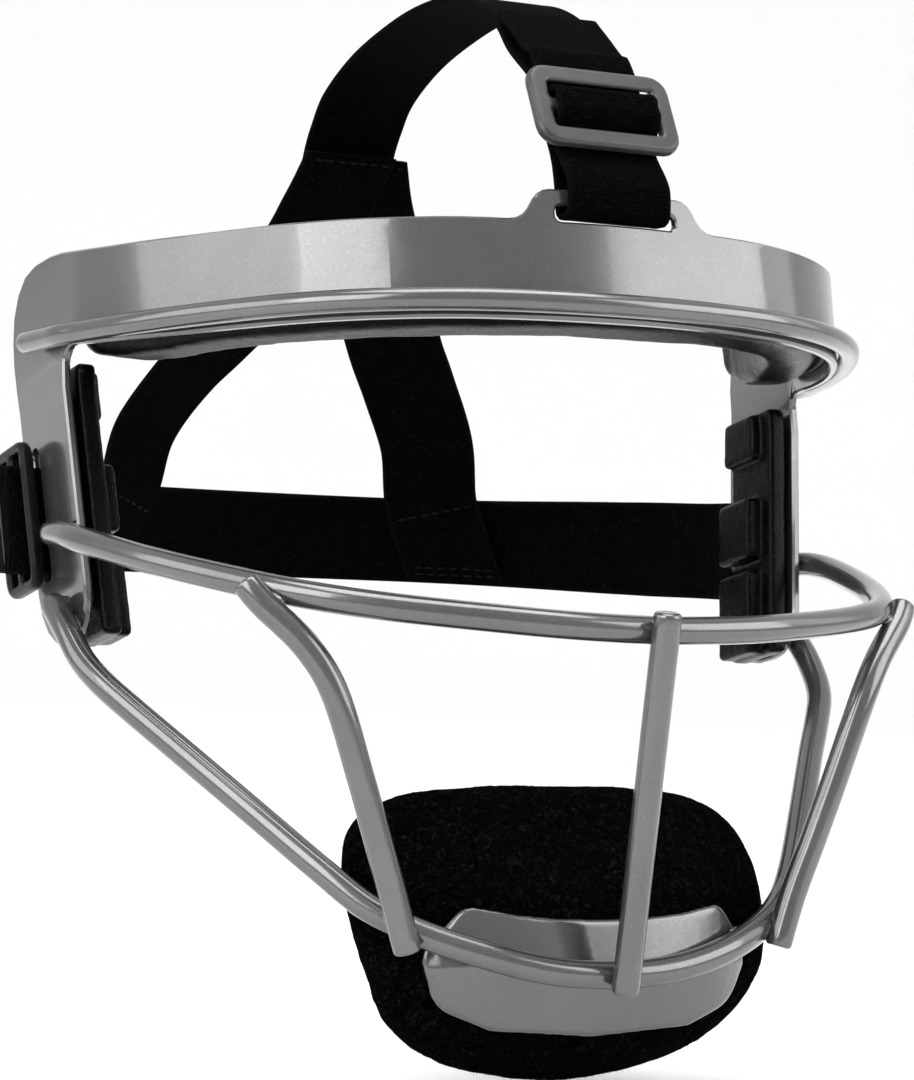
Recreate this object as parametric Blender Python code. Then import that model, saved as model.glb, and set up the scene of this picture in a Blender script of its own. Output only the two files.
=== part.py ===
"""Fielder's face mask: a bent steel brow plate with a welded wire cage, padded rests and an elastic harness.

The steel frame is drawn with its side legs upright and then leaned back as it is worn. The harness is drawn
level. The front of the mask faces -Y, up is +Z, and the origin is the middle of the brow pad's inner face.
All lengths are in metres.
"""
import math

import bmesh
import bpy
from mathutils import Matrix, Vector

OBJECT_NAME = "fielders_mask"
GAP = 0.0003

# Stance: the legs lean back by LEAN, and the origin sits at this point of the upright frame.
LEAN = math.radians(12.0)
FRAME_ORIGIN = Vector((0.0, -0.0880, 0.0600))

# Brow plate: outer face in plan as tangent arcs from the middle, (radius, turn in degrees).
PLATE_THICKNESS = 0.0020
PLATE_FRONT = -0.1051
PLATE_ARCS = ((0.1395, 12.0), (0.0677, 45.0), (0.1637, 33.5))
PLATE_EDGE_ROUND = 0.0005
BAND_HEIGHT = 0.0220
BAND_LOW = (0.0532, 0.0080, 0.0050)
BAND_SPAN = 0.0930
LEG_FRONT = 0.1450
LEG_REAR = 0.1762
LEG_TOP = 0.0888
LEG_WIDTH_FLAT = 0.0972
LEG_TILT = math.radians(4.5)
LEG_TILT_TOP = 0.0600
TAB_TOP = 0.0822
TAB_OFFSET = -0.0025
TAB_HALF = 0.0220
TAB_SLOT = (0.0290, 0.0036, 0.0768)
LEG_SLOT = (0.0042, 0.0305, 0.1682, 0.0312)

# Wires.
WIRE = 0.0030
BROW_WIRE = 0.0025
BROW_WIRE_RISE = (0.0562, 0.0096, 0.0021)

# Pads and hook tape.
TAPE = 0.0011
BROW_PAD = (0.0145, 0.0205, 0.1470)
BROW_PAD_LOBE = 0.0010
SIDE_PAD_BASE = 0.0046
SIDE_PAD_OUTLINE = (0.1453, 0.1648, 0.0, 0.0620)
# Raised parts of a side pad: front edge, rear edge, bottom, top and rise above the base.
SIDE_PAD_RAISED = ((0.1462, 0.1480, 0.0010, 0.0600, 0.0010), (0.1500, 0.1648, 0.0005, 0.0215, 0.0040),
                   (0.1500, 0.1648, 0.0245, 0.0400, 0.0040), (0.1500, 0.1648, 0.0500, 0.0615, 0.0024))
CHIN_PAD = 0.0095
CHIN_PAD_EDGE = 0.0025
CHIN_PAD_HALF = ((0.0, -0.0390), (0.0200, -0.0393), (0.0360, -0.0408), (0.0462, -0.0462), (0.0503, -0.0560),
                 (0.0503, -0.0680), (0.0478, -0.0800), (0.0420, -0.0900), (0.0320, -0.0968), (0.0170, -0.1014),
                 (0.0, -0.1030))
CHIN_PLATE = 0.0018

# Webbing and tri-glide buckles.
WEB_WIDTH = 0.0250
WEB = 0.0015
LOOP_RADIUS = 0.0970
LOOP_CENTRE = 0.0877
LOOP_HEIGHT = -0.0495
STRAP_BACK_LEAN = math.radians(26.0)
CURVE_CLEARANCE = 0.0030
BUCKLE = (0.0345, 0.0205, 0.0030)
BUCKLE_BAR = 0.0030
TOP_BUCKLE_WINDOW = 0.0268
SIDE_BUCKLE_WINDOW = 0.0290
TOP_BUCKLE_AT = Vector((TAB_OFFSET, -0.1015, 0.1018))
TOP_BUCKLE_TILT = math.radians(18.0)
SIDE_BUCKLE_AT = Vector((0.0989, 0.0120, 0.0306))

STEEL = ("powder_coated_steel", (0.36, 0.37, 0.38), 0.28, 0.85)
RUBBER = ("moulded_rubber", (0.018, 0.018, 0.019), 0.55, 0.0)
FELT = ("loop_felt", (0.012, 0.012, 0.012), 0.95, 0.0)
WEBBING = ("elastic_webbing", (0.010, 0.010, 0.011), 0.9, 0.0)
HOOK = ("hook_tape", (0.020, 0.020, 0.020), 0.85, 0.0)
PLASTIC = ("buckle_plastic", (0.045, 0.046, 0.048), 0.4, 0.0)


# ---------------------------------------------------------------- scene helpers
def clear_scene():
    for existing in list(bpy.data.objects):
        bpy.data.objects.remove(existing, do_unlink=True)


def make_collection(name):
    collection = bpy.data.collections.new(name)
    bpy.context.scene.collection.children.link(collection)
    return collection


def make_empty(name, location, tilt=0.0, parent=None):
    empty = bpy.data.objects.new(name, None)
    empty.empty_display_size = 0.02
    empty.location = location
    empty.rotation_euler = (tilt, 0.0, 0.0)
    empty.parent = parent
    parts.objects.link(empty)
    return empty


def own_material(obj, look):
    _, colour, roughness, metallic = look
    material = bpy.data.materials.new(obj.name + "_material")
    material.use_nodes = True
    shader = material.node_tree.nodes["Principled BSDF"]
    shader.inputs["Base Color"].default_value = (*colour, 1.0)
    shader.inputs["Roughness"].default_value = roughness
    shader.inputs["Metallic"].default_value = metallic
    obj.data.materials.clear()
    obj.data.materials.append(material)


def add_mesh(name, bm, parent, look, sharp_degrees=40.0):
    """Finish a bmesh as a named part with its own material."""
    bmesh.ops.remove_doubles(bm, verts=bm.verts, dist=0.00001)
    bmesh.ops.recalc_face_normals(bm, faces=bm.faces)
    mesh = bpy.data.meshes.new(name)
    bm.to_mesh(mesh)
    bm.free()
    mesh.shade_smooth()
    mesh.set_sharp_from_angle(angle=math.radians(sharp_degrees))
    obj = bpy.data.objects.new(name, mesh)
    obj.parent = parent
    parts.objects.link(obj)
    own_material(obj, look)
    return obj


# ---------------------------------------------------------------- curves and outlines
def smooth_through(points, steps):
    """Points along a Catmull-Rom curve that passes through the given points."""
    route = [Vector(p) for p in points]
    route = [2 * route[0] - route[1], *route, 2 * route[-1] - route[-2]]
    result = []
    for a, b, c, d in zip(route, route[1:], route[2:], route[3:]):
        for step in range(steps):
            t = step / steps
            line = (c - a) * t
            bend = (2 * a - 5 * b + 4 * c - d) * t ** 2
            twist = (3 * b - a - 3 * c + d) * t ** 3
            result.append(0.5 * (2 * b + line + bend + twist))
    result.append(route[-2])
    return result


def mirrored(half):
    """A symmetric route from its half, which starts on the middle plane."""
    left = [Vector((-p[0], p[1], p[2])) for p in reversed(half[1:])]
    return left + [Vector(p) for p in half]


def rounded(corners, step_degrees=22.5):
    """A closed outline whose corners, (x, y, radius), are rounded where the radius isn't zero."""
    outline = []
    count = len(corners)
    for index, (x, y, radius) in enumerate(corners):
        corner = Vector((x, y))
        before = Vector(corners[index - 1][:2]) - corner
        after = Vector(corners[(index + 1) % count][:2]) - corner
        if radius == 0.0:
            outline.append(corner)
            continue
        before.normalize()
        after.normalize()
        half = before.angle(after) / 2
        centre = corner + (before + after).normalized() * radius / math.sin(half)
        start = corner + before * radius / math.tan(half) - centre
        end = corner + after * radius / math.tan(half) - centre
        turn = start.angle_signed(end)
        steps = max(2, round(abs(math.degrees(turn)) / step_degrees))
        for step in range(steps + 1):
            outline.append(centre + Matrix.Rotation(-turn * step / steps, 2) @ start)
    return outline


def smooth_loop(half, steps):
    """A closed smooth outline through half its points, which run from the middle line back to it."""
    points = [Vector((-x, y)) for x, y in half[1:-1]][::-1]
    points = [Vector(p) for p in half] + points
    count = len(points)
    outline = []
    for index in range(count):
        four = [points[(index + shift) % count] for shift in (-1, 0, 1, 2)]
        outline += smooth_through(four, steps)[steps:2 * steps]
    return outline


def rectangle(width, height, radius, centre=(0.0, 0.0)):
    x, y = centre
    w, h = width / 2, height / 2
    return rounded([(x - w, y - h, radius), (x + w, y - h, radius), (x + w, y + h, radius),
                    (x - w, y + h, radius)])


def flat_solid(outlines, thickness, edge=0.0):
    """A flat outline with its holes as a closed bmesh, its thickness centred on the XY plane."""
    curve = bpy.data.curves.new("outline", "CURVE")
    curve.dimensions = "2D"
    curve.fill_mode = "BOTH"
    curve.extrude = thickness / 2 - edge
    curve.bevel_depth = edge
    curve.bevel_resolution = 0
    curve.offset = -edge
    for outline in outlines:
        spline = curve.splines.new("POLY")
        spline.points.add(len(outline) - 1)
        for point, place in zip(spline.points, outline):
            point.co = (place[0], place[1], 0.0, 1.0)
        spline.use_cyclic_u = True
    obj = bpy.data.objects.new("outline", curve)
    parts.objects.link(obj)
    graph = bpy.context.evaluated_depsgraph_get()
    mesh = bpy.data.meshes.new_from_object(obj.evaluated_get(graph))
    bpy.data.objects.remove(obj, do_unlink=True)
    bm = bmesh.new()
    bm.from_mesh(mesh)
    bpy.data.meshes.remove(mesh)
    bmesh.ops.remove_doubles(bm, verts=bm.verts, dist=0.00001)
    bmesh.ops.recalc_face_normals(bm, faces=bm.faces)
    bmesh.ops.dissolve_limit(bm, angle_limit=math.radians(1.0), verts=bm.verts, edges=bm.edges)
    return bm


def cut_across(bm, places, axis):
    """Cut the mesh by planes across an axis, so that it can bend there."""
    normal = Vector((0.0, 0.0, 0.0))
    normal[axis] = 1.0
    for place in places:
        geometry = bm.verts[:] + bm.edges[:] + bm.faces[:]
        bmesh.ops.bisect_plane(bm, geom=geometry, dist=0.000001, plane_co=normal * place, plane_no=normal)


def bend(bm, shape):
    """Move every vertex of a flat mesh to its place on a bent surface."""
    for vertex in bm.verts:
        vertex.co = shape(*vertex.co)


def sweep(name, stations, section, parent, look, sharp_degrees=40.0):
    """A closed solid through stations, each (centre, across, outward), with one section for all of them."""
    bm = bmesh.new()
    rings = []
    for centre, across, outward in stations:
        ring = [bm.verts.new(centre + across * u + outward * v) for u, v in section]
        rings.append(ring)
    count = len(section)
    for ring, following in zip(rings, rings[1:]):
        for index in range(count):
            after = (index + 1) % count
            bm.faces.new((ring[index], ring[after], following[after], following[index]))
    bm.faces.new(rings[0])
    bm.faces.new(rings[-1])
    return add_mesh(name, bm, parent, look, sharp_degrees)


def wire(name, points, radius, sides=12):
    """A round wire along the points, with flat ends."""
    curve = bpy.data.curves.new(name, "CURVE")
    curve.dimensions = "3D"
    curve.bevel_depth = radius
    curve.bevel_resolution = sides // 2 - 2
    curve.use_fill_caps = True
    spline = curve.splines.new("POLY")
    spline.points.add(len(points) - 1)
    for point, place in zip(spline.points, points):
        point.co = (*place, 1.0)
    spline.use_smooth = True
    obj = bpy.data.objects.new(name, curve)
    obj.parent = steel_frame
    parts.objects.link(obj)
    own_material(obj, STEEL)
    return obj


def as_mesh(obj):
    """A curve object made a closed mesh, so that it can be cut or be a cutter."""
    graph = bpy.context.evaluated_depsgraph_get()
    mesh = bpy.data.meshes.new_from_object(obj.evaluated_get(graph))
    bm = bmesh.new()
    bm.from_mesh(mesh)
    bmesh.ops.remove_doubles(bm, verts=bm.verts, dist=0.00001)
    bm.to_mesh(mesh)
    bm.free()
    name = obj.name
    parent = obj.parent
    bpy.data.objects.remove(obj, do_unlink=True)
    solid = bpy.data.objects.new(name, mesh)
    solid.parent = parent
    parts.objects.link(solid)
    return solid


def cutter_of(obj):
    """A hidden, slightly thicker copy of a wire, which leaves a gap around the real one."""
    copy = bpy.data.objects.new(obj.name + "_cutter", obj.data.copy())
    copy.data.bevel_depth += GAP
    copy.parent = obj.parent
    parts.objects.link(copy)
    solid = as_mesh(copy)
    parts.objects.unlink(solid)
    cutters.objects.link(solid)
    solid.hide_render = True
    solid.display_type = "WIRE"
    return solid


def web_outline(route, thickness=WEB):
    """The outline of a strip of webbing seen edge-on along a flat route."""
    left, right = [], []
    for index, place in enumerate(route):
        before = route[max(index - 1, 0)]
        after = route[min(index + 1, len(route) - 1)]
        along = (after - before).normalized()
        side = Vector((-along.y, along.x)) * thickness / 2
        left.append(place + side)
        right.append(place - side)
    return left + right[::-1]


# ---------------------------------------------------------------- brow plate
def plan(s):
    """Point and outward normal of the plate's outer face in plan, at the arc length s from the middle."""
    left = abs(s)
    place = Vector((0.0, PLATE_FRONT))
    heading = 0.0
    for radius, degrees in PLATE_ARCS:
        turn = min(left / radius, math.radians(degrees))
        centre = place + Vector((-math.sin(heading), math.cos(heading))) * radius
        heading += turn
        place = centre + Vector((math.sin(heading), -math.cos(heading))) * radius
        left -= turn * radius
    ahead = Vector((math.cos(heading), math.sin(heading)))
    place = place + ahead * left
    outward = Vector((math.sin(heading), -math.cos(heading)))
    if s < 0:
        place.x = -place.x
        outward.x = -outward.x
    return place, outward


def ease(value, start, end):
    t = min(max((value - start) / (end - start), 0.0), 1.0)
    return t * t * (3 - 2 * t)


def leg_x(z):
    """Distance of a leg's flat outer face from the middle plane."""
    return LEG_WIDTH_FLAT - (LEG_TILT_TOP - z) * math.tan(LEG_TILT)


def on_plate(s, z, depth):
    """Place of a flat point (s, z) on the bent plate, at a depth inward from its outer face."""
    place, outward = plan(s)
    side = 1.0 if s > 0 else -1.0
    flat = ease(abs(s), 0.134, 0.143) * ease(z, 0.074, 0.056)
    place = place.lerp(Vector((side * leg_x(z), place.y)), flat)
    outward = outward.lerp(Vector((side, 0.0)), flat).normalized()
    return Vector((*(place - outward * depth), z))


def span(s):
    return (plan(s)[0].y + 0.1050) / BAND_SPAN


def band_low(s):
    q = span(s)
    return BAND_LOW[0] + BAND_LOW[1] * q + BAND_LOW[2] * q * q


def spaced(start, end, count):
    return [start + (end - start) * index / count for index in range(count + 1)]


BAND_CUTS = spaced(-0.1440, 0.1440, 54)


def brow_plate():
    low = [(s, band_low(s), 0.0) for s in spaced(0.0, 0.1387, 26)]
    leg = [(LEG_FRONT, band_low(LEG_FRONT), 0.0035), (LEG_FRONT, 0.0, 0.0110), (LEG_REAR, 0.0, 0.0140)]
    leg.append((LEG_REAR, LEG_TOP, 0.0150))
    high = [(s, min(band_low(s) + BAND_HEIGHT, LEG_TOP), 0.0) for s in spaced(0.1590, 0.0290, 24)]
    half = low + leg + high
    other = [(-x, z, radius) for x, z, radius in half[:0:-1]]
    shoulder = band_low(TAB_HALF) + BAND_HEIGHT
    tab = [(TAB_HALF, shoulder, 0.0050), (TAB_HALF - 0.0040, TAB_TOP, 0.0045)]
    tab += [(-x, z, radius) for x, z, radius in tab[::-1]]
    tab = [(x + TAB_OFFSET, z, radius) for x, z, radius in tab]
    slots = [rectangle(*TAB_SLOT[:2], 0.0015, (TAB_OFFSET, TAB_SLOT[2]))]
    for side in (1, -1):
        slots.append(rectangle(*LEG_SLOT[:2], 0.0018, (side * LEG_SLOT[2], LEG_SLOT[3])))
    bm = flat_solid([rounded(half + tab + other), *slots], PLATE_THICKNESS, PLATE_EDGE_ROUND)
    cut_across(bm, BAND_CUTS, 0)
    cut_across(bm, (0.056, 0.062, 0.068, 0.074), 1)
    bend(bm, lambda s, z, t: on_plate(s, z, PLATE_THICKNESS / 2 - t))
    return add_mesh("brow_plate", bm, steel_frame, STEEL)


# ---------------------------------------------------------------- wire cage
def brow_wire():
    half = []
    for s in spaced(0.0, 0.1605, 26):
        q = span(s)
        rise = BROW_WIRE_RISE[0] + BROW_WIRE_RISE[1] * q + BROW_WIRE_RISE[2] * q * q
        half.append(on_plate(s, rise, -(BROW_WIRE + GAP)))
    return wire("brow_wire", mirrored(half), BROW_WIRE)


def cheek_wire():
    half = [(0.0, -0.1050, -0.0130), (0.0180, -0.1042, -0.0124), (0.0341, -0.1006, -0.0107),
            (0.0554, -0.0913, -0.0071)]
    half += [(0.0700, -0.0820, -0.0032), (0.0803, -0.0696, 0.0018), (0.0896, -0.0506, 0.0090)]
    half += [(0.0968, -0.0269, 0.0180), (0.0980, -0.0150, 0.0221),
             (leg_x(0.0238) + WIRE + GAP, -0.0073, 0.0238)]
    return wire("cheek_wire", smooth_through(mirrored(half), 3), WIRE)


def jaw_wire():
    half = [(0.0, -0.0788, -0.0825), (0.0149, -0.0782, -0.0814), (0.0293, -0.0757, -0.0775),
            (0.0419, -0.0700, -0.0720)]
    half += [(0.0508, -0.0646, -0.0660), (0.0582, -0.0586, -0.0576), (0.0691, -0.0472, -0.0434)]
    half += [(0.0804, -0.0350, -0.0286), (0.0879, -0.0272, -0.0189), (0.0925, -0.0219, -0.0124)]
    half += [(0.0950, -0.0166, -0.0064), (0.0961, -0.0103, 0.0013),
             (leg_x(0.0083) + WIRE + GAP, -0.0029, 0.0083)]
    return wire("jaw_wire", smooth_through(mirrored(half), 3), WIRE)


def upright_wire(name, route):
    """A wire that stands in front of the cheek and jaw wires, coped to fit against them."""
    obj = as_mesh(wire(name, smooth_through(route, 3), WIRE))
    for cutter in cage_cutters:
        cope = obj.modifiers.new("cope", "BOOLEAN")
        cope.operation = "DIFFERENCE"
        cope.object = cutter
    return obj


def centre_wire():
    return upright_wire("centre_vertical_wire", [(0.0, -0.1110, -0.0112), (0.0, -0.0970, -0.0485),
                                                 (0.0, -0.0830, -0.0860)])


def side_wire(name, side):
    route = [(0.0803, -0.0782, -0.0010), (0.0775, -0.0797, -0.0052), (0.0698, -0.0826, -0.0140),
             (0.0640, -0.0833, -0.0240)]
    route += [(0.0576, -0.0800, -0.0409), (0.0530, -0.0770, -0.0534), (0.0486, -0.0740, -0.0652)]
    route.append((0.0452, -0.0720, -0.0758))
    return upright_wire(name, [(side * x, y, z) for x, y, z in route])


# ---------------------------------------------------------------- chin plate and pads
def chin_surface(x, z, depth):
    """The chin plate's front face, a bowl bent back below the jaw wire, at a depth behind it."""
    y = -0.0750 + 3500.0 * x ** 4
    if z < -0.0800:
        y += (-0.0800 - z) * math.tan(math.radians(28.0))
    return Vector((x, y + depth, z))


def chin_plate():
    half = [(0.0, -0.0703, 0.0), (0.0100, -0.0701, 0.0), (0.0200, -0.0691, 0.0), (0.0312, -0.0668, 0.0040)]
    half += [(0.0400, -0.0768, 0.0060), (0.0360, -0.0880, 0.0090), (0.0240, -0.0930, 0.0),
             (0.0, -0.0948, 0.0)]
    other = [(-x, z, radius) for x, z, radius in half[-2:0:-1]]
    bm = flat_solid([rounded(half + other, 9.0)], CHIN_PLATE, PLATE_EDGE_ROUND)
    cut_across(bm, spaced(-0.036, 0.036, 24), 0)
    cut_across(bm, (-0.0785, -0.0800, -0.0815), 1)
    bend(bm, lambda x, z, t: chin_surface(x, z, CHIN_PLATE / 2 - t))
    return add_mesh("chin_plate", bm, steel_frame, STEEL)


def chin_tape():
    bm = flat_solid([rectangle(0.0500, 0.0150, 0.0030, (0.0, -0.0805))], TAPE)
    cut_across(bm, spaced(-0.020, 0.020, 8), 0)
    cut_across(bm, (-0.0785, -0.0800, -0.0815), 1)
    behind = CHIN_PLATE + GAP + TAPE / 2
    bend(bm, lambda x, z, t: chin_surface(x, z, behind - t))
    return add_mesh("chin_tape", bm, steel_frame, HOOK)


def chin_pad_surface(x, z, depth):
    """The chin pad's cup: fullest behind the chin plate, falling back above, below and to the sides."""
    above = max(z + 0.0800, 0.0)
    below = max(-0.0800 - z, 0.0)
    y = -0.0709 + 3.8 * x * x + 7.0 * above ** 2 + 0.54 * below + 12.0 * below ** 2
    return Vector((x, y + depth, z))


def chin_pad():
    bm = flat_solid([smooth_loop(CHIN_PAD_HALF, 4)], CHIN_PAD, CHIN_PAD_EDGE)
    cut_across(bm, spaced(-0.048, 0.048, 16), 0)
    cut_across(bm, spaced(-0.098, -0.044, 9), 1)
    bend(bm, lambda x, z, t: chin_pad_surface(x, z, CHIN_PAD / 2 - t))
    return add_mesh("chin_pad", bm, steel_frame, FELT)


def brow_tape():
    depth = PLATE_THICKNESS + GAP + TAPE / 2
    half = [(s, band_low(s) + 0.0035, 0.0) for s in spaced(0.0, 0.1280, 16)]
    half += [(s, band_low(s) + 0.0185, 0.0) for s in spaced(0.1280, 0.0, 16)]
    other = [(-x, z, radius) for x, z, radius in half[-2:0:-1]]
    bm = flat_solid([rounded(half + other)], TAPE)
    cut_across(bm, spaced(-0.120, 0.120, 30), 0)
    bend(bm, lambda s, z, t: on_plate(s, z, depth - t))
    return add_mesh("brow_tape", bm, steel_frame, HOOK)


def brow_pad():
    thickness, height, reach = BROW_PAD
    depth = PLATE_THICKNESS + TAPE + 2 * GAP + thickness / 2
    low = []
    for s in spaced(0.0, reach - 0.006, 20):
        lobe = BROW_PAD_LOBE * ease(s, 0.108, 0.120) * ease(s, 0.147, 0.134)
        low.append((s, band_low(s) + 0.0006 - lobe, 0.0))
    end = [(reach, band_low(reach) + 0.0015, 0.0040), (reach, band_low(reach) + height, 0.0040)]
    high = [(s, band_low(s) + height, 0.0) for s in spaced(reach - 0.006, 0.0, 14)]
    half = low + end + high
    other = [(-x, z, radius) for x, z, radius in half[-2:0:-1]]
    bm = flat_solid([rounded(half + other)], thickness, 0.0025)
    cut_across(bm, spaced(-0.142, 0.142, 44), 0)
    bend(bm, lambda s, z, t: on_plate(s, z, depth - t))
    return add_mesh("brow_pad", bm, steel_frame, RUBBER)


def box(size, centre):
    bm = bmesh.new()
    bmesh.ops.create_cube(bm, size=1.0, matrix=Matrix.Translation(centre) @ Matrix.Diagonal((*size, 1.0)))
    return bm


def side_tape(name, side):
    depth = PLATE_THICKNESS + GAP + TAPE / 2
    bm = box((0.0140, 0.0480, TAPE), (side * 0.1560, 0.0320, 0.0))
    cut_across(bm, spaced(0.010, 0.054, 4), 1)
    bend(bm, lambda s, z, t: on_plate(s, z, depth - t))
    return add_mesh(name, bm, steel_frame, HOOK)


def pad_layer(name, side, area, bottom, top):
    """One slab of a side pad, as an object that lies flat at its place along the plate."""
    front, rear, low, high = area
    outline = rectangle(rear - front, high - low, 0.0012, (side * (front + rear) / 2, (low + high) / 2))
    bm = flat_solid([outline], top - bottom, 0.0006)
    bmesh.ops.translate(bm, verts=bm.verts, vec=(0.0, 0.0, -(bottom + top) / 2))
    return add_mesh(name, bm, None, RUBBER)


def side_pad(name, side):
    """A base slab with a rib along its front edge and raised blocks behind it, in one moulding."""
    whole = pad_layer(name + "_base", side, SIDE_PAD_OUTLINE, 0.0, SIDE_PAD_BASE)
    for front, rear, low, high, rise in SIDE_PAD_RAISED:
        piece = pad_layer(name + "_block", side, (front, rear, low, high), 0.0010, SIDE_PAD_BASE + rise)
        joined = whole.modifiers.new("union", "BOOLEAN")
        joined.operation = "UNION"
        joined.solver = "EXACT"
        joined.object = piece
        graph = bpy.context.evaluated_depsgraph_get()
        mesh = bpy.data.meshes.new_from_object(whole.evaluated_get(graph))
        whole.modifiers.remove(joined)
        whole.data = mesh
        bpy.data.objects.remove(piece, do_unlink=True)
    bm = bmesh.new()
    bm.from_mesh(whole.data)
    bpy.data.objects.remove(whole, do_unlink=True)
    depth = PLATE_THICKNESS + TAPE + 2 * GAP
    cut_across(bm, (0.056, 0.060), 1)
    bend(bm, lambda s, z, t: on_plate(s, z, depth - t))
    return add_mesh(name, bm, steel_frame, RUBBER)


# ---------------------------------------------------------------- buckles
def buckle(name, place, rotation, window_length):
    """A tri-glide: a rounded frame with a centre bar, which lies in its own XY plane, bars along X."""
    length, height, thickness = BUCKLE
    window = (height - 3 * BUCKLE_BAR) / 2
    outlines = [rectangle(length, height, 0.0045)]
    for side in (1, -1):
        outlines.append(rectangle(window_length, window, 0.0006, (0.0, side * (BUCKLE_BAR + window) / 2)))
    bm = flat_solid(outlines, thickness, 0.0007)
    obj = add_mesh(name, bm, steel_frame, PLASTIC)
    obj.location = place
    obj.rotation_euler = rotation
    return obj


def hump():
    """Webbing through a tri-glide, (along, outward): behind one bar, over the centre bar, behind the next."""
    behind = BUCKLE[2] / 2 + WEB / 2 + GAP
    over = behind + 0.0001
    half = [(0.0, over), (0.0027, over), (0.0067, -behind), (0.0103, -behind)]
    return [Vector((-u, v)) for u, v in half[:0:-1]] + [Vector(p) for p in half]


# ---------------------------------------------------------------- harness
def level(y, z):
    """A point of the upright frame's middle plane, seen in the level harness space."""
    turned = Matrix.Rotation(-LEAN, 3, "X") @ (Vector((0.0, y, z)) - FRAME_ORIGIN)
    return Vector((turned.y, turned.z))


def top_strap():
    """Runs over the head from the yoke, down through the tab's slot and back up through the top buckle."""
    crown = [(0.1445, 0.0300), (0.1378, 0.0470), (0.1330, 0.0545), (0.1256, 0.0617), (0.1086, 0.0690),
             (0.0861, 0.0740)]
    crown += [(0.0686, 0.0758), (0.0526, 0.0753), (0.0391, 0.0717), (0.0276, 0.0660), (0.0190, 0.0590)]
    main = [Vector(p) for p in crown]
    for y, z in ((-0.0920, 0.1115), (-0.0955, 0.1040), (-0.0980, 0.0960), (-0.1000, 0.0900)):
        main.append(level(y, z))
    sag = plan(WEB_WIDTH / 2 - TAB_OFFSET)[0].y - PLATE_FRONT
    back = PLATE_FRONT + sag + PLATE_THICKNESS + WEB / 2 + 3 * GAP
    front = PLATE_FRONT - WEB / 2 - GAP
    slot = TAB_SLOT[2] + 0.0001
    turn = [(back, 0.0840), (back, slot + 0.0014), (back - 0.0006, slot + 0.0001),
            (front + 0.0006, slot + 0.0001)]
    turn += [(front, slot + 0.0014), (front - 0.0002, 0.0840)]
    main += [level(y, z) for y, z in turn]
    up = Vector((math.sin(TOP_BUCKLE_TILT), math.cos(TOP_BUCKLE_TILT)))
    ahead = Vector((-up.y, up.x))
    at = Vector(TOP_BUCKLE_AT.yz)
    for along, outward in hump():
        main.append(level(*(at + up * along + ahead * outward)))
    main += [level(-0.0925, 0.1175), Vector((0.0105, 0.0582)), Vector((0.0175, 0.0629)), Vector((0.0255,
                                                                                                 0.0680))]
    bm = flat_solid([web_outline(smooth_through(main, 2))], WEB_WIDTH)
    bend(bm, lambda y, z, t: Vector((t + TAB_OFFSET * ease(y, 0.050, 0.005), y, z)))
    return add_mesh("top_strap", bm, harness, WEBBING)


def back_strap():
    """Level loop round the back of the head, through both leg slots and back through the side buckles."""
    leg = leg_x(LEG_SLOT[3])
    inner = leg - PLATE_THICKNESS - WEB / 2 - GAP
    slot_y = plan(LEG_SLOT[2])[0].y
    half = []
    for degrees in spaced(0.0, 62.0, 12):
        angle = math.radians(90.0 - degrees)
        half.append((LOOP_RADIUS * math.cos(angle), LOOP_CENTRE + LOOP_RADIUS * math.sin(angle)))
    rear = slot_to_level(0.0160)
    slot = slot_to_level(slot_y)
    half += [(inner + 0.0003, rear + 0.0120), (inner, rear), (inner, slot + 0.0022), (inner + 0.0010, slot)]
    half += [(leg - 0.0005, slot), (leg + 0.0020, slot)]
    at = Vector((SIDE_BUCKLE_AT.x, slot_to_level(SIDE_BUCKLE_AT.y)))
    half.append((at.x + 0.0004, at.y - 0.0039))
    for along, outward in hump()[2:]:
        half.append((at.x + outward, at.y + along))
    half += [(0.0965, at.y + 0.0200), (0.0945, at.y + 0.0300)]
    route = [Vector((-x, y)) for x, y in half[:0:-1]] + [Vector(p) for p in half]
    bm = flat_solid([web_outline(smooth_through(route, 2))], WEB_WIDTH)
    bend(bm, strap_lean)
    return add_mesh("back_strap", bm, harness, WEBBING)


def slot_to_level(y):
    return level(y, LEG_SLOT[3] - 0.0020)[0]


def strap_lean(x, y, t):
    """The strap stands along the legs' slots at its ends and leans in at the top round the back."""
    at_leg = ease(y, 0.1350, 0.1080)
    at_back = ease(y, 0.1100, 0.1800) * STRAP_BACK_LEAN
    outward = Vector((x, y - LOOP_CENTRE)).normalized()
    side = math.copysign(1.0, x)
    inward = t * math.sin(at_back)
    x += side * t * math.tan(LEG_TILT) * at_leg - outward.x * inward
    y += t * math.tan(LEAN) * at_leg - outward.y * inward
    return Vector((x, y, LOOP_HEIGHT + t * math.cos(at_back)))


def on_strap_inside(side, x, t):
    """A point on the inner side of the back strap, t above its middle."""
    outward = Vector((side * x, math.sqrt(LOOP_RADIUS ** 2 - x ** 2))).normalized()
    place = outward * (LOOP_RADIUS - WEB - CURVE_CLEARANCE)
    return strap_lean(place.x, LOOP_CENTRE + place.y, t)


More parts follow.
